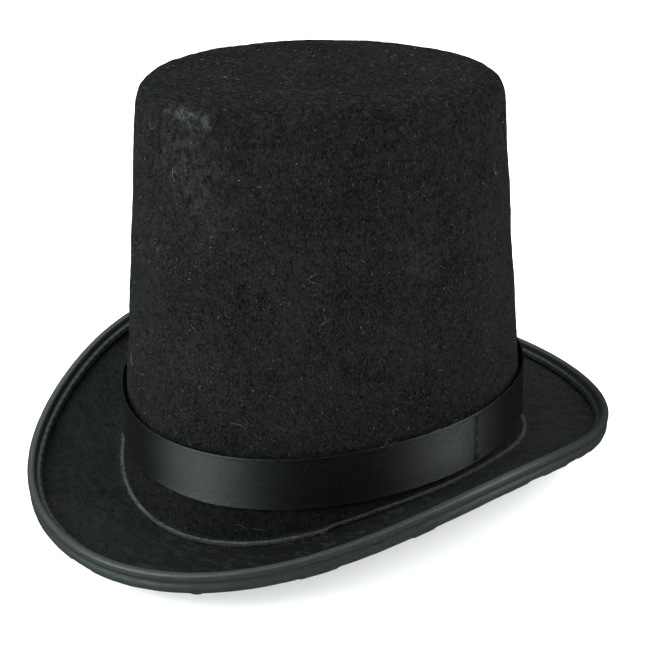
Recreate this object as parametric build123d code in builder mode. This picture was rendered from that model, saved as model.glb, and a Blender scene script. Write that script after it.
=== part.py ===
from build123d import *
import os
from math import cos, pi, radians, sin

# Top hat of pressed felt, in mm. The front faces -Y, the width runs along X, and Z = 0 is the
# plane the hat stands on: it touches under the front and back of the joint of crown and brim.
# Angles go round the hat, in degrees: 0 is the front, 90 the wearer's left (+X), 180 the back.

# Crown: a tapered oval wall with a flat tip and a short flange turned out on the brim
FOOT_HALF_LENGTH = 100.5
FOOT_HALF_WIDTH = 97.5
TIP_HALF_LENGTH = 79.5
TIP_HALF_WIDTH = 78
CROWN_EGG = 0.07
CROWN_HEIGHT = 189
TIP_BEND = 10.5
TIP_PLATE_RADIUS = 58
TIP_PLATE_LAP = 2
CROWN_FELT = 1.8
FLANGE_WIDTH = 2.2
FLANGE_BEND = 1.6

# Joint of crown and brim: low at the front and back, high at the sides
SIDE_RISE = 24
SIDE_SHARPNESS = 2.2

# Brim: a level seat for the crown's flange, then a rising sheet with its edge turned up
BRIM_HALF_LENGTH = 147.5
BRIM_HALF_WIDTH = 127
BRIM_SQUARENESS = 2.1
BRIM_EGG = 0.08
BRIM_FELT = 2
SEAT_WIDTH = 5
SEAT_BEND = 10
BRIM_BEND = 3.2
RIM_HEIGHT = 28.5
RIM_FRONT_LIFT = 2.5
RIM_SIDE_LIFT = 14
RIM_CORNER_LIFT = 1.5
GAP = 0.1

# Wire along the rim, with its ends in a tube at the back
WIRE_RADIUS = 0.6
WIRE_SIDES = 10
WIRE_INSET = 1.85
WIRE_DROP = 1.55
WIRE_END_ANGLE = 179.8
JOINER_BORE = 0.7
JOINER_RADIUS = 0.95
JOINER_START_ANGLE = 177.5
BORE_OVERRUN_ANGLE = 1

# Binding tape, folded over the rim
TAPE = 0.5
TAPE_OUTSIDE = 8.2
TAPE_INSIDE = 5.4
TAPE_TUCK_INSET = 3.6
TAPE_TUCK_DROP = 9.6
TAPE_FOLD_WIDTH = 3.7
TAPE_INNER_INSET = 5.7
TAPE_BEND = 1.7

# Satin band round the crown, lapped at the wearer's left
BAND = 0.6
BAND_WIDTH = 24
BAND_HEIGHT = 28.5
BAND_BACK_LIFT = 3.5
BAND_SIDE_LIFT = 2.2
BAND_FOOT_GAP = 1.4
BAND_TOP_GAP = 2.6
LAP = 0.5
LAP_START_ANGLE = 91
LAP_END_ANGLE = 112
TACK_INSET_ANGLE = 1

# Sweatband inside the crown
SWEATBAND = 0.8
SWEATBAND_WIDTH = 28
SWEATBAND_GAP = 0.3

# Stitches
THREAD_RADIUS = 0.3
BINDING_STITCHES = 132
BINDING_STITCH_RISE = 1
SWEATBAND_STITCHES = 72
SWEATBAND_STITCH_RISE = 3
LAP_STITCHES = 4
STITCH_SHARE = 0.6

# Sections lofted over each half of the hat
STATIONS = 18


def oval(angle, half_length, half_width, egg, squareness=2):
    """Radius of an oval at an angle. An egg above 0 makes its back wider than its front."""
    along = abs(cos(radians(angle))) / half_length
    across = abs(sin(radians(angle))) / (half_width * (1 - egg * cos(radians(angle))))
    return (along**squareness + across**squareness) ** (-1 / squareness)


def crown_radius(angle, height):
    """Outer face of the crown's wall."""
    foot = oval(angle, FOOT_HALF_LENGTH, FOOT_HALF_WIDTH, CROWN_EGG)
    tip = oval(angle, TIP_HALF_LENGTH, TIP_HALF_WIDTH, CROWN_EGG)
    return foot + (tip - foot) * height / CROWN_HEIGHT


def joint_height(angle):
    """Top face of the brim where the crown stands on it."""
    return BRIM_FELT + SIDE_RISE * abs(sin(radians(angle))) ** SIDE_SHARPNESS


def rim_radius(angle):
    """Outer face of the binding."""
    return oval(angle, BRIM_HALF_LENGTH, BRIM_HALF_WIDTH, BRIM_EGG, BRIM_SQUARENESS)


def rim_height(angle):
    """Top of the binding."""
    turn = radians(angle)
    sides = RIM_SIDE_LIFT * cos(2 * turn)
    corners = RIM_CORNER_LIFT * (cos(4 * turn) - cos(3 * turn))
    return RIM_HEIGHT + RIM_FRONT_LIFT * cos(turn) - sides + corners


def band_height(angle):
    """Lower edge of the satin band."""
    turn = radians(angle)
    return BAND_HEIGHT - BAND_BACK_LIFT * cos(turn) - BAND_SIDE_LIFT * cos(2 * turn)


def radial_plane(angle):
    """Upright plane through the hat's axis: its x runs outward and its y runs up."""
    turn = radians(angle)
    return Plane((0, 0, 0), x_dir=(sin(turn), -cos(turn), 0), z_dir=(-cos(turn), -sin(turn), 0))


def place(angle, radius, height):
    """A point of the hat from its angle, radius and height."""
    return Vector(radius * sin(radians(angle)), -radius * cos(radians(angle)), height)


def folded_sheet(outline, bends, thickness, side):
    """A sheet round the hat: its face runs along outline(angle) and it is thick to one side."""
    with BuildPart() as sheet:
        for station in range(STATIONS + 1):
            angle = 180 * station / STATIONS
            with BuildSketch(radial_plane(angle)):
                with BuildLine():
                    FilletPolyline(*outline(angle), radius=bends)
                    offset(amount=thickness, side=side)
                make_face()
        loft()
        mirror(about=Plane.YZ)
    return sheet


def straight_strip(face, thickness, first=0, last=180):
    """A strip round part of the hat: face(angle) gives its lower and upper outer edge."""
    with BuildPart() as strip:
        for station in range(STATIONS + 1):
            angle = first + (last - first) * station / STATIONS
            foot, top = face(angle)
            with BuildSketch(radial_plane(angle)):
                with BuildLine():
                    Polyline(foot, top, top - Vector(thickness, 0), foot - Vector(thickness, 0), close=True)
                make_face()
        loft()
    return strip


def both_halves(strip):
    """A strip along one half of the hat, and its mirror image along the other."""
    with BuildPart() as ring:
        add(strip.part)
        mirror(about=Plane.YZ)
    return ring


def rim_bar(radius, first, last):
    """A bar with flattened sides along part of the rim."""
    with BuildPart() as ring:
        for station in range(STATIONS + 1):
            angle = first + (last - first) * station / STATIONS
            with BuildSketch(radial_plane(angle)):
                with Locations((rim_radius(angle) - WIRE_INSET, rim_height(angle) - WIRE_DROP)):
                    RegularPolygon(radius, WIRE_SIDES)
        loft()
    return ring


def stitch_row(path, angles, length):
    """Straight stitches along a path round the hat, centred at the given angles."""
    reach = 0.5
    planes = [Plane(path(angle), z_dir=path(angle + reach) - path(angle - reach)) for angle in angles]
    with BuildPart() as row:
        with Locations(*planes):
            Cylinder(THREAD_RADIUS, length)
    return row


def even_angles(count):
    """Evenly spaced angles round the whole hat."""
    return [360 * (index + 0.5) / count for index in range(count)]


def save(piece, name):
    """Label a piece and write it to its own file."""
    piece.part.label = name
    export_step(piece.part, f"parts/{name}.step")


# Crown: flange, wall and tip edge in one sheet of felt, closed by the middle of the tip
def crown_outline(angle):
    flange_top = joint_height(angle) + CROWN_FELT + GAP
    corner = crown_radius(angle, flange_top)
    tip_corner = crown_radius(angle, CROWN_HEIGHT)
    return [
        (corner + FLANGE_WIDTH, flange_top),
        (corner, flange_top),
        (tip_corner, CROWN_HEIGHT),
        (TIP_PLATE_RADIUS, CROWN_HEIGHT),
    ]


crown_sheet = folded_sheet(crown_outline, [FLANGE_BEND, TIP_BEND], CROWN_FELT, Side.LEFT)
with BuildPart() as crown_felt:
    add(crown_sheet.part)
    with BuildSketch(Plane.XY.offset(CROWN_HEIGHT - CROWN_FELT + GAP)):
        Circle(TIP_PLATE_RADIUS + TIP_PLATE_LAP)
    extrude(amount=CROWN_FELT - 2 * GAP)


# Brim: from under the crown's flange out to the turned-up rim
def brim_outline(angle):
    height = joint_height(angle)
    rim = rim_radius(angle)
    inner_face = rim - TAPE - BRIM_FELT - 3 * GAP
    crown = crown_radius(angle, height)
    return [
        (crown - BRIM_FELT, height),
        (crown + SEAT_WIDTH, height),
        (inner_face, rim_height(angle) - TAPE_OUTSIDE + BRIM_FELT),
        (inner_face, rim_height(angle) - WIRE_DROP - JOINER_RADIUS - GAP),
    ]


brim_felt = folded_sheet(brim_outline, [SEAT_BEND, BRIM_BEND], BRIM_FELT, Side.RIGHT)

# Wire in the rim, with a gap at the back that the joiner covers
with BuildPart() as rim_wire:
    add(rim_bar(WIRE_RADIUS, 0, WIRE_END_ANGLE).part)
    mirror(about=Plane.YZ)

joiner_bore = rim_bar(JOINER_BORE, JOINER_START_ANGLE - BORE_OVERRUN_ANGLE, 180)
with BuildPart() as wire_joiner:
    add(rim_bar(JOINER_RADIUS, JOINER_START_ANGLE, 180).part)
    add(joiner_bore.part, mode=Mode.SUBTRACT)
    mirror(about=Plane.YZ)


# Binding tape: tucked under the brim, up outside the rim, over the wire and down inside
def binding_outline(angle):
    rim = rim_radius(angle)
    top = rim_height(angle)
    return [
        (rim - TAPE_TUCK_INSET, top - TAPE_TUCK_DROP),
        (rim, top - TAPE_OUTSIDE),
        (rim, top),
        (rim - TAPE_FOLD_WIDTH, top),
        (rim - TAPE_INNER_INSET, top - TAPE_INSIDE),
    ]


rim_binding = folded_sheet(binding_outline, TAPE_BEND, TAPE, Side.LEFT)


def binding_stitch_path(angle):
    inset = TAPE_INNER_INSET + THREAD_RADIUS
    return place(angle, rim_radius(angle) - inset, rim_height(angle) - TAPE_INSIDE + BINDING_STITCH_RISE)


binding_pitch = pi * (BRIM_HALF_LENGTH + BRIM_HALF_WIDTH) / BINDING_STITCHES
binding_stitches = stitch_row(
    binding_stitch_path, even_angles(BINDING_STITCHES), STITCH_SHARE * binding_pitch
)


# Satin band, and the end of the ribbon lapped over its start
def band_face(angle, stand_off=0):
    foot = band_height(angle)
    top = foot + BAND_WIDTH
    return (
        Vector(crown_radius(angle, foot) + BAND_FOOT_GAP + stand_off, foot),
        Vector(crown_radius(angle, top) + BAND_TOP_GAP + stand_off, top),
    )


def lap_face(angle):
    return band_face(angle, GAP + LAP)


hat_band = both_halves(straight_strip(band_face, BAND))
band_lap = straight_strip(lap_face, LAP, LAP_START_ANGLE, LAP_END_ANGLE)

# Upright tacks that hold the lap's end
tack_angle = LAP_START_ANGLE + TACK_INSET_ANGLE
lap_foot, lap_top = lap_face(tack_angle)
tack_pitch = (lap_top - lap_foot) / LAP_STITCHES
with BuildPart() as lap_stitches:
    for index in range(LAP_STITCHES):
        tack = lap_foot + tack_pitch * (index + 0.5)
        with Locations(place(tack_angle, tack.X + THREAD_RADIUS + 2 * GAP, tack.Y)):
            Cylinder(THREAD_RADIUS, STITCH_SHARE * tack_pitch.Y)


# Sweatband: stands inside the crown, from the joint up
def sweatband_face(angle):
    foot = joint_height(angle)
    top = foot + SWEATBAND_WIDTH
    inset = BRIM_FELT + SWEATBAND_GAP
    return Vector(crown_radius(angle, foot) - inset, foot), Vector(crown_radius(angle, top) - inset, top)


sweatband = both_halves(straight_strip(sweatband_face, SWEATBAND))


def sweatband_stitch_path(angle):
    inset = BRIM_FELT + SWEATBAND_GAP + SWEATBAND + THREAD_RADIUS + 2 * GAP
    height = joint_height(angle) + SWEATBAND_STITCH_RISE
    return place(angle, crown_radius(angle, height) - inset, height)


sweatband_pitch = pi * (FOOT_HALF_LENGTH + FOOT_HALF_WIDTH) / SWEATBAND_STITCHES
sweatband_stitches = stitch_row(
    sweatband_stitch_path, even_angles(SWEATBAND_STITCHES), STITCH_SHARE * sweatband_pitch
)

os.makedirs("parts", exist_ok=True)
save(crown_felt, "crown_felt")
save(brim_felt, "brim_felt")
save(rim_wire, "rim_wire")
save(wire_joiner, "wire_joiner")
save(rim_binding, "rim_binding")
save(binding_stitches, "binding_stitches")
save(hat_band, "hat_band")
save(band_lap, "band_lap")
save(lap_stitches, "lap_stitches")
save(sweatband, "sweatband")
save(sweatband_stitches, "sweatband_stitches")
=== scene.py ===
import math

import bpy
import numpy as np
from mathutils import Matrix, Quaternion, Vector, noise


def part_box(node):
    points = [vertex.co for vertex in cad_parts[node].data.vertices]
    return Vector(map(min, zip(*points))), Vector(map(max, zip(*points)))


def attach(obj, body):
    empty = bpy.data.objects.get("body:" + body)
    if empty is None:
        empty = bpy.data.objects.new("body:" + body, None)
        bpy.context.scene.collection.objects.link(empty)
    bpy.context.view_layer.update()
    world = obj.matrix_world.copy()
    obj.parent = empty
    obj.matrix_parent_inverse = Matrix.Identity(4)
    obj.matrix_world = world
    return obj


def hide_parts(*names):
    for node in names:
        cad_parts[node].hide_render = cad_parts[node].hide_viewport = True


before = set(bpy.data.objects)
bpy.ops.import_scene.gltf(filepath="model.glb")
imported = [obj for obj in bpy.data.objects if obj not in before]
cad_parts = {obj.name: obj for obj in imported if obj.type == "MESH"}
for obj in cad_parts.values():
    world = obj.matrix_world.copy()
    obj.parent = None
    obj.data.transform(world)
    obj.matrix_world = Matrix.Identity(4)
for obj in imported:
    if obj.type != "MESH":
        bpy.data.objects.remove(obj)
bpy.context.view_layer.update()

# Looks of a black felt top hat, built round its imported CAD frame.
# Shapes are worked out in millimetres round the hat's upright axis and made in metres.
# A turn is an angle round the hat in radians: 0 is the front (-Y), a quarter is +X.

MM = 0.001
QUARTER = math.pi / 2
UP = np.array([0.0, 0.0, 1.0])

# ---------------------------------------------------------------- sizes in millimetres


def top_corner(node):
    """Highest corner of a CAD node's box, in millimetres."""
    return np.array(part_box(node)[1]) / MM


# Crown: a tapered oval wall, a flat tip and a short flange turned out on the brim
CROWN_HEIGHT = top_corner("crown_felt")[2]
FOOT_HALF_LENGTH = 100.5
FOOT_HALF_WIDTH = 97.5
TIP_HALF_LENGTH = 79.5
TIP_HALF_WIDTH = 78.0
CROWN_EGG = 0.07
TIP_SETBACK = 10.5
TIP_POLE = 2.0
CROWN_FELT = 1.8
FLANGE_WIDTH = 2.1
FLANGE_SETBACK = 1.2

# The flange is cut shorter and stands up a little from this turn, then grows wide again
FLANGE_JOG = 0.85
JOG_SOFTNESS = 0.02
JOG_GROWS_BACK = (0.1, 0.6)
JOG_DEPTH = 1.2
JOG_LIFT = 0.9

# Joint of crown and brim, and the brim out to its turned-up rim
SIDE_RISE = 24.0
SIDE_SHARPNESS = 2.2
BRIM_FELT = 2.0
BRIM_SQUARENESS = 2.1
BRIM_EGG = 0.08
BRIM_SWELL = 0.9945  # half width at the hat's middle as a share of the widest, further back
BRIM_HALF_WIDTH = BRIM_SWELL * top_corner("rim_binding")[0]
BRIM_HALF_LENGTH = top_corner("rim_binding")[1]
BRIM_LEVEL = 5.0  # how far it stays level outside the crown
BRIM_INSIDE_TAPE = 0.4  # room between its turned-up face and the tape
WIRE_ROOM = 2.6  # room over its edge for the wire
RIM_HEIGHT = 28.5
RIM_FRONT_LIFT = 2.5
RIM_SIDE_LIFT = 14.0
RIM_CORNER_LIFT = 1.5

# Binding tape and the stitches in the groove along its inner edge
TAPE = 0.45
TAPE_OUTSIDE = 8.2  # height of the rim's outer side
TAPE_TUCK = 0.5  # how far the tape reaches below it
GROOVE_IN = 5.0
GROOVE_DOWN = 3.35
STITCH_THICKNESS = 0.5
STITCH_SHARE = 0.6  # of the pitch
STITCH_PITCH = 5.2
STITCHES = round(math.pi * (BRIM_HALF_LENGTH + BRIM_HALF_WIDTH) / STITCH_PITCH)

# Satin band, lapped on the wearer's left
BAND_WIDTH = 24.0
BAND_FOOT = 28.5
BAND_BACK_LIFT = 3.5
BAND_SIDE_LIFT = 2.2
BAND_THICKNESS = 0.45
BAND_FOOT_GAP = 1.5
BAND_TOP_GAP = 2.8
SELVEDGE = 0.22  # how much thicker its edges are
SELVEDGE_INSET = 0.5
SELVEDGE_SPREAD = 0.15
LAP_START = 1.015 * QUARTER
LAP_END = 1.24 * QUARTER
LAP_THICKNESS = 0.2
LAP_LIFT = 0.03

# Sweatband inside the crown
SWEATBAND_WIDTH = 28.0
SWEATBAND_THICKNESS = 0.7
SWEATBAND_INSET = 2.3
SWEATBAND_DROP = 0.5  # how far it reaches below the joint
SWEATBAND_EASE = 0.35  # room that keeps its puckers off the crown
SEAM_UP = 3
SEAM_IN = 0.9
SWEATBAND_STITCHES = 96

# Unevenness of each surface: layers of noise, each (depth, size, seed)
CROWN_DENTS = [(0.55, 24, 1), (0.20, 8, 2), (0.13, 3.5, 3)]
BRIM_WAVES = [(0.50, 30, 4), (0.18, 8, 5), (0.10, 3, 6)]
UNDERSIDE_DENTS = [(0.10, 6, 8)]
FLANGE_UNEVENNESS = [(0.35, 22, 15), (0.15, 5, 16)]
TAPE_DENTS = [(0.07, 4, 11)]
BAND_RIPPLES = [(0.40, 26, 12)]
SWEATBAND_PUCKERS = [(0.35, 14, 14)]

# Creases under the tip: narrow grooves, fully deep from the second height up
CREASE_HEIGHTS = (130, 175)
CREASE_DEPTH = 0.225
CREASE_SIZE = 9
CREASE_SEED = 17
CREASE_NARROWNESS = 0.07

# Fibres and specks on the felt: how many, how far off it, and between which heights
FRAY_FIBRES = 2600
FRAY_TUFT_FIBRES = 500
WALL_FIBRES = 1300
HIGH_LONG_FIBRES = 4
OTHER_LONG_FIBRES = 16
TIP_FIBRES = 320
LINT_GAP = 0.2
LINT_LOW = 45
LINT_HIGH = CROWN_HEIGHT - 8
TIP_MARGIN = 9  # how far specks on the tip stay inside its outline

# Loose threads: (turn, length) on the band's upper edge, (turn, length, height) below the band
BAND_THREADS = [(1.35, 4), (1.40, 6), (1.46, 3), (1.50, 2), (1.10, 2.5), (1.13, 3), (1.08, 2)]
FOOT_THREADS = [(0.42, 8, 14.5), (0.50, 7, 14.0)]
THREAD_GAP = 0.3

COLUMNS = 400
SHARP_EDGE = math.radians(55)
SEED = 7
chance = np.random.default_rng(SEED)

# ---------------------------------------------------------------- the hat's surfaces


def oval(turn, half_length, half_width, egg, squareness=2.0):
    """Radius of an oval at a turn. An egg above 0 makes its back wider than its front."""
    along = np.abs(np.cos(turn)) / half_length
    across = np.abs(np.sin(turn)) / (half_width * (1 - egg * np.cos(turn)))
    return (along**squareness + across**squareness) ** (-1 / squareness)


def crown_radius(turn, height):
    """Outer face of the crown's wall."""
    foot = oval(turn, FOOT_HALF_LENGTH, FOOT_HALF_WIDTH, CROWN_EGG)
    tip = oval(turn, TIP_HALF_LENGTH, TIP_HALF_WIDTH, CROWN_EGG)
    return foot + (tip - foot) * height / CROWN_HEIGHT


def joint_height(turn):
    """Top face of the brim where the crown stands on it."""
    return BRIM_FELT + SIDE_RISE * np.abs(np.sin(turn)) ** SIDE_SHARPNESS


def rim_radius(turn):
    """Outer face of the binding."""
    return oval(turn, BRIM_HALF_LENGTH, BRIM_HALF_WIDTH, BRIM_EGG, BRIM_SQUARENESS)


def rim_height(turn):
    """Top of the binding."""
    sides = RIM_SIDE_LIFT * np.cos(2 * turn)
    corners = RIM_CORNER_LIFT * (np.cos(4 * turn) - np.cos(3 * turn))
    return RIM_HEIGHT + RIM_FRONT_LIFT * np.cos(turn) - sides + corners


def band_foot(turn):
    """Lower edge of the satin band."""
    return BAND_FOOT - BAND_BACK_LIFT * np.cos(turn) - BAND_SIDE_LIFT * np.cos(2 * turn)


def in_space(radius, height, turn):
    """Points in millimetres from radii, heights and turns."""
    parts = np.broadcast_arrays(radius * np.sin(turn), -radius * np.cos(turn), height)
    return np.stack(parts, -1).astype(float)


def outward(turn):
    """Level directions away from the hat's axis."""
    return in_space(1.0, 0.0, turn)


def around(count=COLUMNS):
    """Evenly spaced turns round the hat."""
    return np.arange(count) * math.tau / count


# ---------------------------------------------------------------- mesh helpers


def unit(vectors):
    """Vectors of length 1."""
    return vectors / np.maximum(np.linalg.norm(vectors, axis=-1, keepdims=True), 1e-9)


def bent_path(corners, setbacks, steps):
    """Rows of (radius, height) along runs between corners, with each corner rounded.

    corners are (radius, height) pairs of arrays, one value for each column. steps gives the
    rows on each run and each rounded corner in turn.
    """
    points = [np.stack(np.broadcast_arrays(*corner), -1).astype(float) for corner in corners]
    rows = []
    start = points[0]
    for index, corner in enumerate(points[1:-1]):
        enter = corner + unit(points[index] - corner) * setbacks[index]
        leave = corner + unit(points[index + 2] - corner) * setbacks[index]
        for share in np.arange(steps[2 * index]) / steps[2 * index]:
            rows.append(start + (enter - start) * share)
        for share in np.arange(steps[2 * index + 1]) / steps[2 * index + 1]:
            bend = (1 - share) ** 2 * enter + 2 * share * (1 - share) * corner + share**2 * leave
            rows.append(bend)
        start = leave
    for share in np.linspace(0, 1, steps[-1] + 1):
        rows.append(start + (points[-1] - start) * share)
    return np.array(rows)


def shifted(path, distance):
    """The path moved sideways: a distance above 0 moves it to the left of its direction."""
    along = unit(np.gradient(path, axis=0))
    left = np.stack([-along[..., 1], along[..., 0]], -1)
    return path + left * np.asarray(distance)[..., None]


def make_mesh(name, points, faces, cloth=None):
    """A smooth mesh object from points in millimetres.

    cloth gives each face corner's place on the flat cloth, also in millimetres.
    """
    mesh = bpy.data.meshes.new(name)
    mesh.from_pydata((np.asarray(points, float) * MM).tolist(), [], faces)
    if cloth is not None:
        layer = mesh.uv_layers.new(name="cloth")
        layer.data.foreach_set("uv", (np.asarray(cloth, float) * MM).ravel())
    mesh.polygons.foreach_set("use_smooth", [True] * len(mesh.polygons))
    mesh.set_sharp_from_angle(angle=SHARP_EDGE)
    mesh.validate()
    piece = bpy.data.objects.new(name, mesh)
    bpy.context.scene.collection.objects.link(piece)
    return piece


def grid_piece(name, grid, closed_columns=True, poles=None):
    """A closed piece from a grid of points, (rows, columns, 3), whose last row joins its first.

    Its columns go round the hat. Without closed_columns it is a strip with both ends filled.
    With poles it is a cup: instead of the faces after row poles, its two faces close at the axis.
    """
    rows, columns = grid.shape[:2]
    row = np.delete(np.arange(rows), [] if poles is None else [poles])
    column = np.arange(columns if closed_columns else columns - 1)
    r, c = (part.ravel() for part in np.meshgrid(row, column, indexing="ij"))
    quads = np.stack([np.stack([r, r, r + 1, r + 1], -1), np.stack([c, c + 1, c + 1, c], -1)], -1)
    if not closed_columns:
        r = np.arange(rows // 2 - 1)
        pairs = np.stack([r, r + 1, rows - 2 - r, rows - 1 - r], -1)
        first = np.stack([pairs, np.zeros_like(pairs)], -1)
        last = np.stack([pairs[:, ::-1], np.full_like(pairs, columns - 1)], -1)
        quads = np.concatenate([quads, first, last])
    along = np.linalg.norm(np.diff(grid, axis=1, append=grid[:, :1]), axis=-1).mean(0)
    across = np.linalg.norm(np.diff(grid, axis=0, append=grid[:1]), axis=-1).mean(1)
    along = np.concatenate([[0], np.cumsum(along)])
    across = np.concatenate([[0], np.cumsum(across)])
    faces = ((quads[..., 0] % rows) * columns + quads[..., 1] % columns).tolist()
    cloth = np.stack([along[quads[..., 1]], across[quads[..., 0]]], -1).reshape(-1, 2)
    points = grid.reshape(-1, 3)
    if poles is not None:
        middles = grid[[poles, poles + 1]].mean(1)
        turn = np.arange(columns)
        for index, (edge, step) in enumerate(((poles, 1), (poles + 1, -1))):
            ends = edge * columns + np.stack([turn, (turn + step) % columns], -1)
            tops = np.full((columns, 1), len(points) + index)
            faces += np.concatenate([ends, tops], -1).tolist()
            fan = np.stack([along[turn], np.full(columns, across[edge])], -1)
            cloth = np.concatenate([cloth, np.repeat(fan, 3, axis=0)])
        points = np.concatenate([points, middles])
    return make_mesh(name, points, faces, cloth)


def normals_of(grid):
    """Outward directions on a grid whose rows run up or out along an outer face."""
    along = np.roll(grid, -1, axis=1) - np.roll(grid, 1, axis=1)
    across = np.gradient(grid, axis=0)
    return unit(np.cross(along, across))


def rough(points, size, seed=0.0):
    """Smooth noise from -1 to 1 at points, with lumps about size millimetres across."""
    shift = Vector((seed, 2.7 * seed, -1.3 * seed))
    flat = np.asarray(points).reshape(-1, 3) / size
    values = [noise.noise(Vector(point) + shift) for point in flat.tolist()]
    return np.array(values).reshape(np.asarray(points).shape[:-1])


def lumps(points, layers):
    """Unevenness at points, summed from layers of noise."""
    return sum(depth * rough(points, size, seed) for depth, size, seed in layers)


def soft_step(value, low, high):
    """Smoothly from 0 to 1 while the value goes from low to high."""
    share = np.clip((value - low) / (high - low), 0, 1)
    return share * share * (3 - 2 * share)


# ---------------------------------------------------------------- material helpers


# Length of one band of a wave texture at a scale of 1
WAVE_LENGTH = 0.314


class Shader:
    """Builds one material's nodes with short calls."""

    def __init__(self, name):
        self.material = bpy.data.materials.new(name)
        self.material.use_nodes = True
        self.nodes = self.material.node_tree.nodes
        self.links = self.material.node_tree.links
        self.surface = self.nodes["Principled BSDF"]

    def node(self, kind, inputs=(), **settings):
        """A node with its settings, and its inputs given by number or name."""
        made = self.nodes.new(kind)
        for key, value in settings.items():
            setattr(made, key, value)
        for key, value in dict(inputs).items():
            if isinstance(value, bpy.types.NodeSocket):
                self.links.new(value, made.inputs[key])
            else:
                made.inputs[key].default_value = value
        return made

    def place(self, stretch=(1, 1, 1)):
        """Position on the hat in metres, squeezed or stretched along each axis."""
        where = self.node("ShaderNodeTexCoord").outputs["Object"]
        return self.node("ShaderNodeMapping", {"Vector": where, "Scale": stretch}).outputs[0]

    def cloth(self, stretch=(1, 1, 1)):
        """Position on the flat cloth in metres: along it, then across it."""
        where = self.node("ShaderNodeUVMap", uv_map="cloth").outputs[0]
        return self.node("ShaderNodeMapping", {"Vector": where, "Scale": stretch}).outputs[0]

    def part(self, where, axis):
        """One coordinate of a position."""
        return self.node("ShaderNodeSeparateXYZ", {0: where}).outputs[axis]

    def grain(self, where, size_mm, detail=2.0, roughness=0.5):
        """Noise from 0 to 1 with lumps of a size in millimetres."""
        scale = 1 / (size_mm * MM)
        inputs = {"Vector": where, "Scale": scale, "Detail": detail, "Roughness": roughness}
        return self.node("ShaderNodeTexNoise", inputs).outputs[0]

    def bands(self, where, pitch_mm, distortion, direction):
        """Fine wavering bands, one after another along a direction."""
        scale = WAVE_LENGTH / (pitch_mm * MM)
        inputs = {"Vector": where, "Scale": scale, "Distortion": distortion, "Detail": 2.0}
        return self.node("ShaderNodeTexWave", inputs, bands_direction=direction).outputs["Fac"]

    def ramp(self, value, low, high, start=0.0, end=1.0):
        """Smoothly from start to end while the value goes from low to high."""
        inputs = {"Value": value, "From Min": low, "From Max": high, "To Min": start, "To Max": end}
        made = self.node("ShaderNodeMapRange", inputs, interpolation_type="SMOOTHSTEP")
        return made.outputs[0]

    def math(self, operation, first, second=0.0, third=0.0):
        """A sum, product or other function of up to three values."""
        inputs = {0: first, 1: second, 2: third}
        return self.node("ShaderNodeMath", inputs, operation=operation).outputs[0]

    def distance(self, where, spot):
        """How far a position is from a spot."""
        inputs = {0: where, 1: spot}
        return self.node("ShaderNodeVectorMath", inputs, operation="DISTANCE").outputs["Value"]

    def times(self, *values):
        """Product of values."""
        product = values[0]
        for value in values[1:]:
            product = self.math("MULTIPLY", product, value)
        return product

    def mix(self, share, first, second):
        """A colour between two colours."""
        made = self.node("ShaderNodeMix", {0: share}, data_type="RGBA")
        for socket, colour in ((made.inputs[6], first), (made.inputs[7], second)):
            if isinstance(colour, bpy.types.NodeSocket):
                self.links.new(colour, socket)
            else:
                socket.default_value = (*colour, 1)
        return made.outputs[2]

    def bump(self, height, depth_mm, below=None):
        """Relief of a depth in millimetres on top of other relief."""
        inputs = {"Height": height, "Strength": 1.0, "Distance": depth_mm * MM}
        if below is not None:
            inputs["Normal"] = below
        return self.node("ShaderNodeBump", inputs).outputs[0]

    def finish(self, colour, roughness, relief, **constants):
        """Join colour, roughness and relief to the surface, and set its constants."""
        self.links.new(colour, self.surface.inputs["Base Color"])
        self.links.new(roughness, self.surface.inputs["Roughness"])
        self.links.new(relief, self.surface.inputs["Normal"])
        for key, value in constants.items():
            self.surface.inputs[key.replace("_", " ")].default_value = value
        return self.material


# ---------------------------------------------------------------- materials

# Colours that felt shows where it is worn, tufted or cut
WORN = (0.050, 0.050, 0.042)
TIP_TUFT = (0.0170, 0.0195, 0.0195)
CUT_FELT = (0.066, 0.066, 0.058)

# Spots with a reach in millimetres and a strength: worn (turn, height, reach, strength) on the
# crown's wall, and the painted shadow of the crown on the brim (radius, height, turn, reach,
# strength)
WORN_SPOTS = [
    (0.00, 186.0, 5.5, 0.6),
    (0.08, 185.2, 5.5, 0.8),
    (0.16, 184.2, 5.5, 0.7),
    (0.25, 183.0, 5.5, 0.5),
    (0.10, 168.0, 24, 0.22),
    (0.26, 152.0, 24, 0.14),
    (1.32, 126.0, 14, 0.15),
]
PAINTED_BRIM_SHADE = (110.0, 15.0, 0.75, 140, 0.85)

# The felt's surface, the same all over apart from its colour, relief and roughness
FELT_CONSTANTS = {"Specular_IOR_Level": 0.0, "Sheen_Weight": 0.004, "Sheen_Roughness": 0.4}

# Heights in metres between which the tip's tufts and the creases under it fade in
TIP_FADE = (0.182, 0.188)
CREASE_FADE = (0.125, 0.175)

# Depth on the cloth, in metres from the start of the crown's section, where its cut edge ends
CUT_FADE = (0.0018, 0.0031)

# How much paler than the satin its painted glints are, and what all its kinds share
PAINTED_GLINT = 2.2
SATIN_CONSTANTS = {"Anisotropic_Rotation": 0.25, "Sheen_Weight": 0.003, "Sheen_Roughness": 0.4}


def spot_at(radius, height, turn, reach, strength):
    """A spot's place and reach in metres, and its strength."""
    place = in_space(radius, height, turn) * MM
    return tuple(place.tolist()), reach * MM, strength


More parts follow.
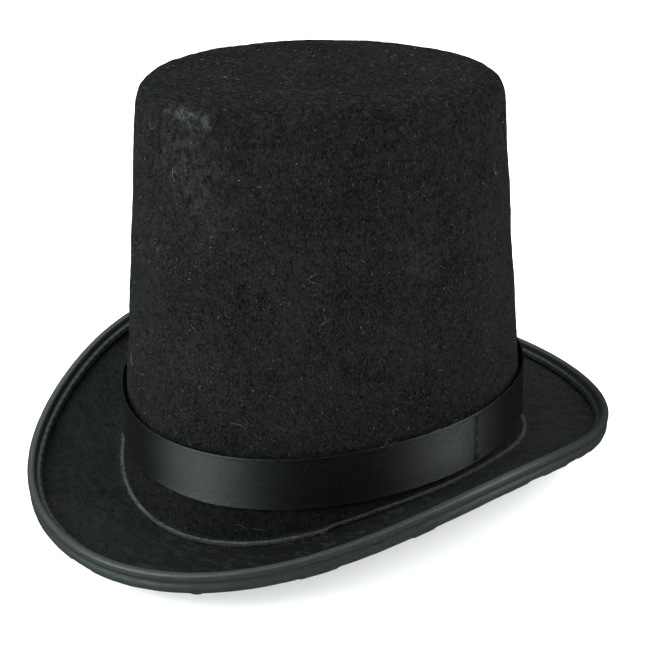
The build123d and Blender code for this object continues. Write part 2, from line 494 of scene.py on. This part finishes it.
def felt_base(shader, dark, pale):
    """Colour, relief and roughness of needled felt: matted fibres in broad and fine patches."""
    where = shader.place()
    fibres = shader.place((1, 1, 0.6))
    broad = shader.grain(where, 26, 3, 0.6)
    mottle = shader.grain(where, 3.6, 4, 0.7)
    nap = shader.grain(fibres, 0.75, 2, 0.7)
    shade = shader.math("MULTIPLY_ADD", mottle, 0.45, nap)
    shade = shader.math("MULTIPLY_ADD", broad, 0.22, shade)
    colour = shader.mix(shader.ramp(shade, 0.53, 1.15), dark, pale)
    flecks = shader.ramp(shader.grain(fibres, 0.8, 1, 0.5), 0.71, 0.77, 0, 0.6)
    colour = shader.mix(flecks, colour, WORN)
    relief = shader.bump(mottle, 0.45)
    relief = shader.bump(nap, 0.10, relief)
    roughness = shader.ramp(nap, 0.3, 0.7, 0.85, 1.0)
    return colour, relief, roughness


def crown_material(dark, pale):
    """Crown's felt: creased near the tip, with painted shade in the creases, worn at spots, and
    pale along its cut edge, which painted shade dims toward the wearer's left.
    """
    shader = Shader("crown_felt")
    colour, relief, roughness = felt_base(shader, dark, pale)
    where = shader.place()
    rise = shader.part(where, 2)
    on_tip = shader.ramp(rise, *TIP_FADE)
    tufts = shader.grain(shader.place((0.6, 0.6, 1)), 1.1, 3, 0.7)
    colour = shader.mix(shader.times(shader.ramp(tufts, 0.52, 0.68), on_tip, 0.7), colour, TIP_TUFT)
    colour = shader.mix(shader.times(shader.ramp(tufts, 0.48, 0.32), on_tip, 0.8), colour, dark)
    relief = shader.bump(shader.times(tufts, on_tip), 0.5, relief)
    near_tip = shader.ramp(rise, *CREASE_FADE)
    crease = shader.grain(where, CREASE_SIZE, 4, 0.6)
    crease = shader.math("ABSOLUTE", shader.math("SUBTRACT", crease, 0.5))
    crease = shader.times(shader.ramp(crease, 0.0, 0.045, 1, 0), near_tip)
    # Painted shade: the creases are darkened in colour as well as in relief
    colour = shader.mix(shader.times(crease, 0.25), colour, dark)
    relief = shader.bump(crease, -0.25, relief)
    patchy = shader.ramp(shader.grain(where, 3.0, 5, 0.75), 0.44, 0.62)
    for turn, height, reach_mm, level in WORN_SPOTS:
        spot, reach, strength = spot_at(crown_radius(turn, height), height, turn, reach_mm, level)
        near = shader.ramp(shader.distance(where, spot), 0, reach, 1, 0)
        colour = shader.mix(shader.times(near, patchy, strength), colour, WORN)
    broken = shader.ramp(shader.grain(where, 1.6, 4, 0.7), 0.30, 0.55)
    edge = shader.ramp(shader.part(shader.cloth(), 1), *CUT_FADE, 1, 0)
    # The pale cut edge is the felt's own cut fibres; its dimming toward the wearer's left is
    # painted shade
    painted_shade_left = shader.ramp(shader.part(where, 0), 0.02, 0.08, 1.0, 0.45)
    colour = shader.mix(shader.times(edge, broken, painted_shade_left), colour, CUT_FELT)
    return shader.finish(colour, roughness, relief, **FELT_CONSTANTS)


def brim_material(dark, pale):
    """Brim's felt: faint streaks left by pressing, and a painted shadow of the crown darkening it
    near the front.
    """
    shader = Shader("brim_felt")
    colour, relief, roughness = felt_base(shader, dark, pale)
    # Painted shade: the brim is darkened round a spot near its front, standing in for the crown's
    # shadow
    spot, reach, strength = spot_at(*PAINTED_BRIM_SHADE)
    near = shader.ramp(shader.distance(shader.place(), spot), 0, reach, strength, 0)
    colour = shader.mix(near, colour, dark)
    streaks = shader.grain(shader.place((0.35, 1.3, 1)), 4, 3, 0.65)
    colour = shader.mix(shader.ramp(streaks, 0.50, 0.70, 0, 0.5), colour, pale)
    relief = shader.bump(streaks, 0.4, relief)
    return shader.finish(colour, roughness, relief, **FELT_CONSTANTS)


def satin_material(name, dark, pale, roughness, level, thread_mm, anisotropy, speckle_mm):
    """Satin: fine threads along the cloth, whose sheen spreads across them in one wide streak."""
    shader = Shader(name)
    cloth = shader.cloth()
    threads = shader.bands(cloth, thread_mm, 1.5, "Y")
    crossing = shader.bands(cloth, 1.4 * thread_mm, 2.5, "X")
    speckle = shader.grain(cloth, 0.65, 2, 0.6)
    slubs = shader.grain(shader.cloth((0.15, 1, 1)), 0.8, 3, 0.6)
    ripple = shader.grain(shader.cloth((0.5, 1, 1)), 10, 2, 0.5)
    weave = shader.math("MULTIPLY_ADD", crossing, 0.5, threads)
    colour = shader.mix(shader.ramp(slubs, 0.35, 0.7), dark, pale)
    # Painted highlight: pale specks in the colour stand in for the glinting sheen of the weave
    painted_glints = tuple(PAINTED_GLINT * part for part in pale)
    colour = shader.mix(shader.ramp(speckle, 0.50, 0.68), colour, painted_glints)
    relief = shader.bump(ripple, 0.15)
    relief = shader.bump(speckle, speckle_mm, relief)
    relief = shader.bump(weave, 0.015, relief)
    rough_share = shader.ramp(speckle, 0.35, 0.65, roughness + 0.14, roughness - 0.14)
    tangent = shader.node("ShaderNodeTangent", direction_type="UV_MAP", uv_map="cloth").outputs[0]
    shader.links.new(tangent, shader.surface.inputs["Tangent"])
    gloss = {"Specular_IOR_Level": level, "Anisotropic": anisotropy}
    return shader.finish(colour, rough_share, relief, **gloss, **SATIN_CONSTANTS)


def thread_material(name, dark, pale):
    """Twisted sewing thread or loose fibre."""
    shader = Shader(name)
    twist = shader.grain(shader.place(), 0.9, 2, 0.5)
    colour = shader.mix(shader.ramp(twist, 0.35, 0.65), dark, pale)
    relief = shader.bump(twist, 0.05)
    roughness = shader.ramp(twist, 0.3, 0.7, 0.6, 0.85)
    return shader.finish(colour, roughness, relief, Specular_IOR_Level=0.3)


def metal_material(name, colour, roughness):
    """Drawn metal with fine scratches."""
    shader = Shader(name)
    scratches = shader.grain(shader.place((1, 1, 0.1)), 0.4, 3, 0.6)
    shade = tuple(0.75 * part for part in colour)
    finish = shader.mix(shader.ramp(scratches, 0.3, 0.7), shade, colour)
    relief = shader.bump(scratches, 0.01)
    rough_share = shader.ramp(scratches, 0.3, 0.7, roughness - 0.08, roughness + 0.08)
    return shader.finish(finish, rough_share, relief, Metallic=1.0)


# ---------------------------------------------------------------- crown

# Rows on each run and bend of the crown's section. Its inside starts after the first ones,
# which are on the flange's cut edge and upper face.
CROWN_STEPS = [3, 4, 2, 6, 84, 14, 46]
CUT_ROWS = 8

# The inside of the crown needs only every third row
INSIDE_STEP = 3

# How far up from the joint the glued foot keeps the felt from denting, and what dents are left
CROWN_HELD = 10
HELD_SHARE = 0.25


def flange_edge(turn):
    """How far the flange's cut edge stands out past the wall, and how far it is lifted."""
    uneven = lumps(in_space(crown_radius(turn, 0), 0, turn), FLANGE_UNEVENNESS)
    past_jog = turn - FLANGE_JOG
    trimmed = soft_step(past_jog, -JOG_SOFTNESS, JOG_SOFTNESS)
    jog = trimmed * (1 - soft_step(past_jog, *JOG_GROWS_BACK))
    return FLANGE_WIDTH + uneven - JOG_DEPTH * jog, JOG_LIFT * jog


def crown_section(turn):
    """The crown's outer face from the bottom of the flange's cut edge to the middle of the tip."""
    reach, lift = flange_edge(turn)
    foot = joint_height(turn) + CROWN_FELT + lift
    corner = crown_radius(turn, foot)
    tip = crown_radius(turn, CROWN_HEIGHT)
    corners = [
        (corner + reach - 0.1, foot - CROWN_FELT),
        (corner + reach, foot),
        (corner, foot),
        (tip, CROWN_HEIGHT),
        (TIP_POLE, CROWN_HEIGHT),
    ]
    setbacks = [0.5, np.minimum(FLANGE_SETBACK, 0.45 * reach)[:, None], TIP_SETBACK]
    return bent_path(corners, setbacks, CROWN_STEPS)


def crown_piece():
    """The crown's outer and inner face, dented all over and creased near the tip."""
    turn = around()
    path = crown_section(turn)
    grid = in_space(path[..., 0], path[..., 1], turn)
    height = grid[..., 2]
    groove = np.exp(-((rough(grid, CREASE_SIZE, CREASE_SEED) / CREASE_NARROWNESS) ** 2))
    creases = CREASE_DEPTH * soft_step(height, *CREASE_HEIGHTS) * groove
    dents = lumps(grid, CROWN_DENTS) - creases
    free = np.clip((height - joint_height(turn)) / CROWN_HELD, 0, 1)
    dents = dents * (HELD_SHARE + (1 - HELD_SHARE) * free)
    grid = grid + normals_of(grid) * dents[..., None]
    inside = shifted(path[CUT_ROWS:], CROWN_FELT)
    inner = in_space(inside[..., 0], inside[..., 1], turn)[::INSIDE_STEP]
    return grid_piece("felt_crown", np.concatenate([grid, inner[::-1]]), poles=len(grid) - 1)


# ---------------------------------------------------------------- brim

# Rows on each run and bend of the brim's section, and the one where its level seat ends
BRIM_STEPS = [5, 3, 44, 8, 3]
SEAT_ROW = 8

# How far out from there the crown keeps the felt from waving
BRIM_HELD = 12


def brim_section(turn):
    """The brim's upper face from inside the crown to the top of the turned-up rim."""
    height = joint_height(turn)
    face = rim_radius(turn) - TAPE - BRIM_FELT - BRIM_INSIDE_TAPE
    corners = [
        (crown_radius(turn, height) - BRIM_FELT, height),
        (crown_radius(turn, height) + BRIM_LEVEL, height),
        (face, rim_height(turn) - TAPE_OUTSIDE + BRIM_FELT),
        (face, rim_height(turn) - WIRE_ROOM),
    ]
    return bent_path(corners, [1.0, 2.8], BRIM_STEPS)


def brim_piece():
    """The brim's upper face and underside, which wave together."""
    turn = around()
    path = brim_section(turn)
    top = in_space(path[..., 0], path[..., 1], turn)
    up = normals_of(top)
    wave = lumps(top, BRIM_WAVES)
    free = np.clip((path[..., 0] - path[SEAT_ROW, :, 0]) / BRIM_HELD, 0, 1)
    top = top + up * (wave * free)[..., None]
    under_path = shifted(path, -BRIM_FELT)
    under = in_space(under_path[..., 0], under_path[..., 1], turn)
    dents = lumps(under, UNDERSIDE_DENTS)
    under = under + up * ((wave + dents) * free)[..., None]
    return grid_piece("felt_brim", np.concatenate([top, under[::-1]])[::-1])


# ---------------------------------------------------------------- binding tape

# Rows on each run and bend of the tape's section
TAPE_STEPS = [2, 4, 2, 4, 2, 4, 1, 4, 1, 5, 1, 5, 2, 4, 1, 4, 2]

# Puckers between the stitches grow between these rows, counted from the tape's inner edge
PUCKER_ROWS = (-9, -3)
PUCKER_DEPTH = 0.18
COLUMNS_PER_STITCH = 3

# The tape's lower edge goes up and down in steps, with finer raggedness
EDGE_STEPS = 1.6
EDGE_STEP_DEPTH = 0.9
EDGE_RAGGEDNESS = 0.12


def binding_section(turn):
    """The tape's outer face: tucked under, up the outside, over the wire and down inside.

    Inside, the stitches pull it into a groove, and its edge beyond them puckers out.
    """
    rim = rim_radius(turn)
    top = rim_height(turn)
    pucker = 0.5 + 0.5 * np.cos(turn * STITCHES)
    edge = in_space(rim, top, turn)
    uneven = rough(edge, 26, 9)
    ragged = rough(edge, 7, 10)
    stepped = EDGE_STEP_DEPTH * np.round(EDGE_STEPS * uneven) / EDGE_STEPS
    low = top - TAPE_OUTSIDE - TAPE_TUCK + stepped + EDGE_RAGGEDNESS * ragged
    corners = [
        (rim - 3.4, low - 0.9),  # tucked under the brim
        (rim - 0.3 + 0.25 * uneven, low),  # lower edge, outside
        (rim + 0.1 * ragged, top - 6.0),
        (rim - 0.9, top - 3.9),  # groove below the wire
        (rim + 0.1, top - 2.4),
        (rim - 0.1, top),  # over the wire
        (rim - 3.4, top),
        (rim - 4.1, top - 3.3),  # groove that the stitches pull in
        (rim - 5.6 - 0.3 * pucker, top - 3.2 - 0.3 * pucker),  # puckered lip
        (rim - 6.4 - 0.3 * pucker + 0.2 * ragged, top - 5.5),
    ]
    setbacks = [0.9, 0.9, 0.9, 0.5, 1.1, 1.5, 0.5, 0.7]
    return bent_path(corners, setbacks, TAPE_STEPS)


def binding_piece():
    """The tape, puckered between its stitches."""
    turn = around(COLUMNS_PER_STITCH * STITCHES)
    path = binding_section(turn)
    grid = in_space(path[..., 0], path[..., 1], turn)
    out = normals_of(grid)
    row = np.arange(len(path))[:, None] - len(path)
    near_edge = soft_step(row, *PUCKER_ROWS)
    pucker = PUCKER_DEPTH * np.cos(turn * STITCHES)[None] * near_edge
    grid = grid + out * (pucker + lumps(grid, TAPE_DENTS))[..., None]
    back_path = shifted(path, TAPE)
    back = in_space(back_path[..., 0], back_path[..., 1], turn)
    return grid_piece("edge_binding", np.concatenate([grid, back[::-1]]))


# ---------------------------------------------------------------- stitches, fray and lint

# A direction that no thread runs along, and how blunt thread ends are
ASKEW = np.array([0.31, 0.55, 0.77])
BLUNTNESS = 0.12


def tubes(name, lines, thickness, sides=4):
    """Thin round threads along lines, (threads, points, 3), closed at both ends."""
    threads, points = lines.shape[:2]
    along = unit(np.gradient(lines, axis=1))
    across = unit(np.cross(along, ASKEW))
    over = np.cross(along, across)
    angles = np.arange(sides) * math.tau / sides
    taper = np.sin(np.linspace(BLUNTNESS, math.pi - BLUNTNESS, points)) ** 0.5
    reach = 0.5 * np.broadcast_to(np.asarray(thickness, float), (threads,))[:, None] * taper
    ring = np.cos(angles)[:, None] * across[:, :, None] + np.sin(angles)[:, None] * over[:, :, None]
    grid = lines[:, :, None] + ring * reach[..., None, None]
    base = np.arange(threads)[:, None] * points * sides
    faces = []
    for point in range(points - 1):
        for side in range(sides):
            after = (side + 1) % sides
            near, far = point * sides, (point + 1) * sides
            faces.append(base + [near + side, near + after, far + after, far + side])
    first = base + np.arange(sides)[::-1]
    last = base + (points - 1) * sides + np.arange(sides)
    caps = np.concatenate([first, last])
    return make_mesh(name, grid.reshape(-1, 3), np.concatenate(faces).tolist() + caps.tolist())


def hairs(name, roots, directions, ups, lengths, thickness, curl=0.35, lift=0.2, points=5):
    """Curved fibres from roots along directions, curling sideways and lifting a little."""
    count = len(roots)
    share = np.linspace(0, 1, points)[None, :, None]
    side = unit(np.cross(directions, ups))
    bend = chance.uniform(-curl, curl, (count, 1, 1))
    twist = chance.uniform(-curl, curl, (count, 1, 1))
    rise = lift * chance.uniform(0.2, 1, (count, 1, 1))
    length = lengths[:, None, None]
    line = roots[:, None] + directions[:, None] * share * length
    line = line + side[:, None] * (bend * share**2 + twist * np.sin(3 * share)) * length
    line = line + ups[:, None] * rise * np.sin(share * math.pi) * length
    return tubes(name, line, thickness, sides=3)


def stitch_ring(name, count, path):
    """Evenly spaced stitches round the hat. path gives radius and height at turns."""
    pitch = math.tau / count
    turn = (np.arange(count) + 0.5) * pitch
    turns = turn[None] + np.linspace(-0.5, 0.5, 5)[:, None] * STITCH_SHARE * pitch
    radius, height = path(turns)
    return tubes(name, in_space(radius, height, turns).transpose(1, 0, 2), STITCH_THICKNESS)


def binding_stitches():
    """Short stitches in the groove along the tape's inner edge."""

    def groove(turn):
        return rim_radius(turn) - GROOVE_IN, rim_height(turn) - GROOVE_DOWN

    return stitch_ring("edge_stitches", STITCHES, groove)


def fibres_on(turn, height, lengths, name, thickness, curl):
    """Fibres lying on the crown's wall in any direction."""
    count = len(turn)
    roots = in_space(crown_radius(turn, height) + LINT_GAP, height, turn)
    ups = unit(outward(turn) + 0.12 * UP)
    heading = chance.uniform(0, math.tau, (count, 1))
    directions = unit(outward(turn + QUARTER) * np.cos(heading) + UP * np.sin(heading))
    return hairs(name, roots, directions, ups, lengths, thickness, curl, lift=0.15, points=8)


def joint_fray():
    """Broken fibres along the cut edge of the crown's flange, in denser tufts near the front."""
    spread = chance.uniform(0, math.tau, FRAY_FIBRES)
    tufts = chance.normal(0.42, 0.22, FRAY_TUFT_FIBRES)
    turn = np.concatenate([spread, tufts]) % math.tau
    count = len(turn)
    reach, lift = flange_edge(turn)
    height = joint_height(turn) + lift + CROWN_FELT * chance.uniform(0.3, 1.0, count)
    radius = crown_radius(turn, height) + reach + chance.normal(0, 0.12, count)
    along = outward(turn + QUARTER) * chance.normal(0, 1.2, (count, 1))
    directions = unit(0.5 * outward(turn) + along + 0.3 * UP)
    lengths = chance.uniform(0.4, 1.5, count)
    roots = in_space(radius, height, turn)
    return hairs("joint_fray", roots, directions, np.tile(UP, (count, 1)), lengths, 0.15)


def wall_lint():
    """Pale specks and curled fibres caught on the crown's wall."""
    turn = chance.uniform(0, math.tau, WALL_FIBRES)
    height = LINT_LOW + (LINT_HIGH - LINT_LOW) * chance.uniform(0, 1, WALL_FIBRES) ** 1.25
    lengths = chance.exponential(0.28, WALL_FIBRES) + 0.25
    thickness = chance.uniform(0.08, 0.2, WALL_FIBRES)
    return fibres_on(turn, height, lengths, "wall_lint", thickness, curl=0.7)


def long_lint():
    """A few long curled fibres: some high on the wearer's front, the rest anywhere."""
    high, other = HIGH_LONG_FIBRES, OTHER_LONG_FIBRES
    turn = np.concatenate([chance.normal(0.0, 0.12, high), chance.uniform(0, math.tau, other)])
    height = np.concatenate([chance.uniform(150, 178, high), chance.uniform(60, 172, other)])
    lengths = chance.uniform(2.0, 5.5, high + other)
    return fibres_on(turn, height, lengths, "long_lint", thickness=0.13, curl=1.1)


def tip_lint():
    """Pale specks caught on the tip."""
    turn = chance.uniform(0, math.tau, TIP_FIBRES)
    reach = crown_radius(turn, CROWN_HEIGHT) - TIP_MARGIN
    radius = np.sqrt(chance.uniform(0, 1, TIP_FIBRES)) * reach
    roots = in_space(radius, CROWN_HEIGHT + LINT_GAP, turn)
    directions = outward(chance.uniform(0, math.tau, TIP_FIBRES))
    ups = np.tile(UP, (TIP_FIBRES, 1))
    lengths = chance.exponential(0.45, TIP_FIBRES) + 0.25
    thickness = chance.uniform(0.08, 0.2, TIP_FIBRES)
    return hairs("tip_lint", roots, directions, ups, lengths, thickness, curl=0.7, lift=0.1)


def loose_threads():
    """Threads that came loose along the band's upper edge and below the band at the front."""
    band_turn, band_length = np.array(BAND_THREADS).T
    foot_turn, foot_length, foot_height = np.array(FOOT_THREADS).T
    turn = np.concatenate([band_turn, foot_turn])
    height = np.concatenate([band_foot(band_turn) + BAND_WIDTH + THREAD_GAP, foot_height])
    stand_off = np.repeat([BAND_TOP_GAP, THREAD_GAP], [len(band_turn), len(foot_turn)])
    roots = in_space(crown_radius(turn, height) + stand_off, height, turn)
    directions = unit(outward(turn + QUARTER) + 0.12 * UP)
    ups = unit(outward(turn) + UP)
    lengths = np.concatenate([band_length, foot_length])
    return hairs("loose_threads", roots, directions, ups, lengths, thickness=0.13, points=9)


# ---------------------------------------------------------------- ribbons


def strip_section(low, high, thickness, rows, bead=0.0):
    """Closed cross-section of a flat strip, from its lower to its upper outer edge and back.

    low and high are (radius, height) at each column. bead thickens both edges as a selvedge.
    """
    low = np.stack(np.broadcast_arrays(*low), -1)
    high = np.stack(np.broadcast_arrays(*high), -1)
    share = 0.5 - 0.5 * np.cos(np.linspace(0, math.pi, rows))[:, None, None]
    face = low + (high - low) * share
    from_edge = np.minimum(share, 1 - share) * BAND_WIDTH
    raised = bead * np.exp(-((from_edge - SELVEDGE_INSET) ** 2) / SELVEDGE_SPREAD)
    face = face + raised * np.array([1.0, 0.0])
    return np.concatenate([face, shifted(face, thickness)[::-1]])


# Rows on each ribbon's face, and columns on the lap
BAND_ROWS = 26
SWEATBAND_ROWS = 20
LAP_COLUMNS = 60

# How much longer the band's ripples are up the hat than round it
RIPPLE_STRETCH = 2.5


def band_grid(turn, thickness, stand_off=0.0):
    """The satin band's cross-sections at turns, pushed in and out by long soft ripples."""
    foot = band_foot(turn)
    top = foot + BAND_WIDTH
    low = (crown_radius(turn, foot) + BAND_FOOT_GAP + stand_off, foot)
    high = (crown_radius(turn, top) + BAND_TOP_GAP + stand_off, top)
    path = strip_section(low, high, thickness, BAND_ROWS, SELVEDGE)
    grid = in_space(path[..., 0], path[..., 1], turn)
    ripple = lumps(grid / [1, 1, RIPPLE_STRETCH], BAND_RIPPLES)
    return grid + outward(turn)[None] * ripple[..., None]


def band_piece():
    """The ribbon all the way round."""
    return grid_piece("satin_band", band_grid(around(), BAND_THICKNESS))


def lap_piece():
    """The ribbon's end, which thins out into the band away from its cut edge."""
    turn = np.linspace(LAP_START, LAP_END, LAP_COLUMNS)
    thickness = LAP_LIFT + LAP_THICKNESS * (1 - soft_step(turn, LAP_START, LAP_END))
    grid = band_grid(turn, thickness, thickness + LAP_LIFT)
    return grid_piece("satin_lap", grid, closed_columns=False)


def sweatband_piece():
    """The sweatband, puckered inward where it is sewn."""
    turn = around()
    foot = joint_height(turn) - SWEATBAND_DROP
    top = foot + SWEATBAND_WIDTH
    low = (crown_radius(turn, foot) - SWEATBAND_INSET, foot)
    high = (crown_radius(turn, top) - SWEATBAND_INSET, top)
    path = strip_section(low, high, SWEATBAND_THICKNESS, SWEATBAND_ROWS)
    grid = in_space(path[..., 0], path[..., 1], turn)
    puckers = lumps(grid, SWEATBAND_PUCKERS) - SWEATBAND_EASE
    return grid_piece("sweat_ribbon", grid + outward(turn)[None] * puckers[..., None])


def sweatband_stitches():
    """Stitches along the sweatband's lower edge."""

    def seam(turn):
        height = joint_height(turn) + SEAM_UP
        inside = crown_radius(turn, height) - SWEATBAND_INSET - SWEATBAND_THICKNESS
        return inside - SEAM_IN, height

    return stitch_ring("sweat_stitches", SWEATBAND_STITCHES, seam)


# ---------------------------------------------------------------- camera, floor and light

VIEW_TURN = math.radians(46.47)
VIEW_RISE = math.radians(24.74)
VIEW_ROLL = math.radians(-0.55)
VIEW_DISTANCE = 507.9
VIEW_CENTRE = (1.72, -11.18)
VIEW_HEIGHT = 80.0
LENS = 59.44
SENSOR_WIDTH = 36

# The room's glow, and the height in metres that the lights aim at
ROOM_GLOW = 0.4
AIM_HEIGHT = 0.05

# Tints of the lights
COOL = (0.84, 1.0, 0.98)
PALE = (0.90, 1.0, 0.98)
WARM = (1.0, 1.0, 0.93)
SKY = (0.88, 1.0, 0.99)
WHITE = (1, 1, 1)

# Lights: name, turn from the camera and rise in degrees, distance and (width, height) in metres,
# power in watts, tint, and whether gloss shows it. Boxes give highlights, fills only brighten.
SOFTBOXES = [
    ("left_box", -62, 28, 1.0, (0.62, 0.8), 16, COOL, True),
    ("right_box", 67, 28, 1.0, (0.52, 0.8), 9, PALE, True),
    ("left_fill", -102, 35, 3.0, (2.5, 2.5), 75, COOL, False),
    ("right_fill", 102, 35, 3.0, (2.5, 2.5), 45, WARM, False),
    ("top_box", 180, 72, 4.0, (6.0, 5.0), 222, SKY, True),
]
FLOOR_FILL = ("floor_fill", 0, math.degrees(VIEW_RISE), 3.0, (2.0, 1.0), 90, WHITE, False)
FLOOR_REACH = 6


def toward(turn, rise):
    """Direction from the hat at a turn and a rise above the floor."""
    level = math.cos(rise)
    return Vector((math.sin(turn) * level, -math.cos(turn) * level, math.sin(rise)))


def add_camera():
    """Camera aimed at a point a little off the hat's axis."""
    back = toward(VIEW_TURN, VIEW_RISE)
    right = Vector((math.cos(VIEW_TURN), math.sin(VIEW_TURN), 0))
    offset = right * VIEW_CENTRE[0] + back.cross(right) * VIEW_CENTRE[1]
    target = Vector((0, 0, VIEW_HEIGHT)) + offset
    data = bpy.data.cameras.new("camera")
    data.lens = LENS
    data.sensor_width = SENSOR_WIDTH
    data.clip_start = 0.01
    camera = bpy.data.objects.new("camera", data)
    camera.location = (target + back * VIEW_DISTANCE) * MM
    camera.rotation_mode = "QUATERNION"
    camera.rotation_quaternion = back.to_track_quat("Z", "Y") @ Quaternion((0, 0, 1), VIEW_ROLL)
    bpy.context.scene.collection.objects.link(camera)
    bpy.context.scene.camera = camera


def add_softbox(name, turn, rise, distance, size, power, tint, in_gloss):
    """An area light that faces the hat, set up by one row of the lights' settings."""
    data = bpy.data.lights.new(name, "AREA")
    data.shape = "RECTANGLE"
    data.size, data.size_y = size
    data.energy = power
    data.color = tint
    light = bpy.data.objects.new(name, data)
    direction = toward(VIEW_TURN + math.radians(turn), math.radians(rise))
    light.location = direction * distance + Vector((0, 0, AIM_HEIGHT))
    light.rotation_euler = direction.to_track_quat("Z", "Y").to_euler()
    light.visible_glossy = in_gloss
    bpy.context.scene.collection.objects.link(light)
    return light


def add_floor():
    """A wide pale matt floor that gloss doesn't show."""
    mesh = bpy.data.meshes.new("floor")
    signs = ((-1, -1), (1, -1), (1, 1), (-1, 1))
    corners = [(FLOOR_REACH * x, FLOOR_REACH * y, 0) for x, y in signs]
    mesh.from_pydata(corners, [], [(0, 1, 2, 3)])
    floor = bpy.data.objects.new("floor", mesh)
    bpy.context.scene.collection.objects.link(floor)
    shader = Shader("pale_floor")
    tint = shader.mix(shader.grain(shader.place(), 40), (0.91, 0.90, 0.90), (0.94, 0.93, 0.93))
    relief = shader.bump(shader.grain(shader.place(), 2), 0.01)
    roughness = shader.ramp(shader.grain(shader.place(), 8), 0.3, 0.7, 0.85, 0.95)
    mesh.materials.append(shader.finish(tint, roughness, relief, Specular_IOR_Level=0.1))
    floor.visible_glossy = False
    return floor


def add_floor_fill(floor):
    """A light for the floor alone, so that the hat's shadow on it stays faint."""
    light = add_softbox(*FLOOR_FILL)
    only_floor = bpy.data.collections.new("only_floor")
    only_floor.objects.link(floor)
    light.light_linking.receiver_collection = only_floor


def add_light():
    """A dim room that gloss doesn't show, with softboxes at the sides, behind and above."""
    world = bpy.data.worlds.new("studio")
    world.use_nodes = True
    background = world.node_tree.nodes["Background"]
    background.inputs[0].default_value = (1, 1, 1, 1)
    background.inputs[1].default_value = ROOM_GLOW
    bpy.context.scene.world = world
    world.cycles_visibility.glossy = False
    for settings in SOFTBOXES:
        add_softbox(*settings)


# ---------------------------------------------------------------- assembly


def wear(piece, material, slot, *nodes):
    """Give a piece its material and hide the nodes that it replaces. The slot is not used."""
    piece.data.materials.append(material)
    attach(piece, "root")
    if nodes:
        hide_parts(*nodes)
    return piece


crown_felt = crown_material(dark=(0.0014, 0.0014, 0.0014), pale=(0.0126, 0.0122, 0.0123))
brim_felt = brim_material(dark=(0.0032, 0.0032, 0.0033), pale=(0.0195, 0.0200, 0.0203))
satin = satin_material(
    "satin",
    dark=(0.0012, 0.0011, 0.0013),
    pale=(0.0034, 0.0032, 0.0038),
    roughness=0.40,
    level=0.50,
    thread_mm=0.28,
    anisotropy=1.0,
    speckle_mm=0.16,
)
tape = satin_material(
    "binding_tape",
    dark=(0.010, 0.0108, 0.0108),
    pale=(0.0165, 0.018, 0.018),
    roughness=0.42,
    level=0.35,
    thread_mm=0.25,
    anisotropy=0.5,
    speckle_mm=0.06,
)
ribbon = satin_material(
    "sweat_ribbon",
    dark=(0.008, 0.008, 0.009),
    pale=(0.016, 0.016, 0.017),
    roughness=0.5,
    level=0.3,
    thread_mm=0.6,
    anisotropy=0.2,
    speckle_mm=0.06,
)
black_thread = thread_material("black_thread", (0.006, 0.006, 0.006), (0.018, 0.019, 0.019))
pale_fibre = thread_material("pale_fibre", (0.045, 0.045, 0.043), (0.15, 0.145, 0.14))
fray_fibre = thread_material("fray_fibre", (0.030, 0.030, 0.027), (0.085, 0.085, 0.077))

crown = wear(crown_piece(), crown_felt, "felt", "crown_felt")
brim = wear(brim_piece(), brim_felt, "felt", "brim_felt")
binding = wear(binding_piece(), tape, "binding_tape", "rim_binding")
edge_stitches = wear(binding_stitches(), black_thread, "thread", "binding_stitches")
band = wear(band_piece(), satin, "satin", "hat_band")
lap = wear(lap_piece(), satin, "satin", "band_lap")
sweatband = wear(sweatband_piece(), ribbon, "sweatband", "sweatband")
sweat_stitches = wear(sweatband_stitches(), black_thread, "thread", "sweatband_stitches")
wear(joint_fray(), fray_fibre, "felt")
wear(wall_lint(), pale_fibre, "felt")
wear(long_lint(), pale_fibre, "felt")
wear(tip_lint(), pale_fibre, "felt")
wear(loose_threads(), fray_fibre, "thread")

steel = metal_material("drawn_steel", (0.45, 0.45, 0.45), 0.35)
crimp = metal_material("crimped_tube", (0.6, 0.6, 0.61), 0.4)
for node, material in (("rim_wire", steel), ("wire_joiner", crimp), ("lap_stitches", black_thread)):
    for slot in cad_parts[node].material_slots:
        slot.material = material

add_floor_fill(add_floor())
add_light()
add_camera()
bpy.context.scene.view_settings.view_transform = "Standard"
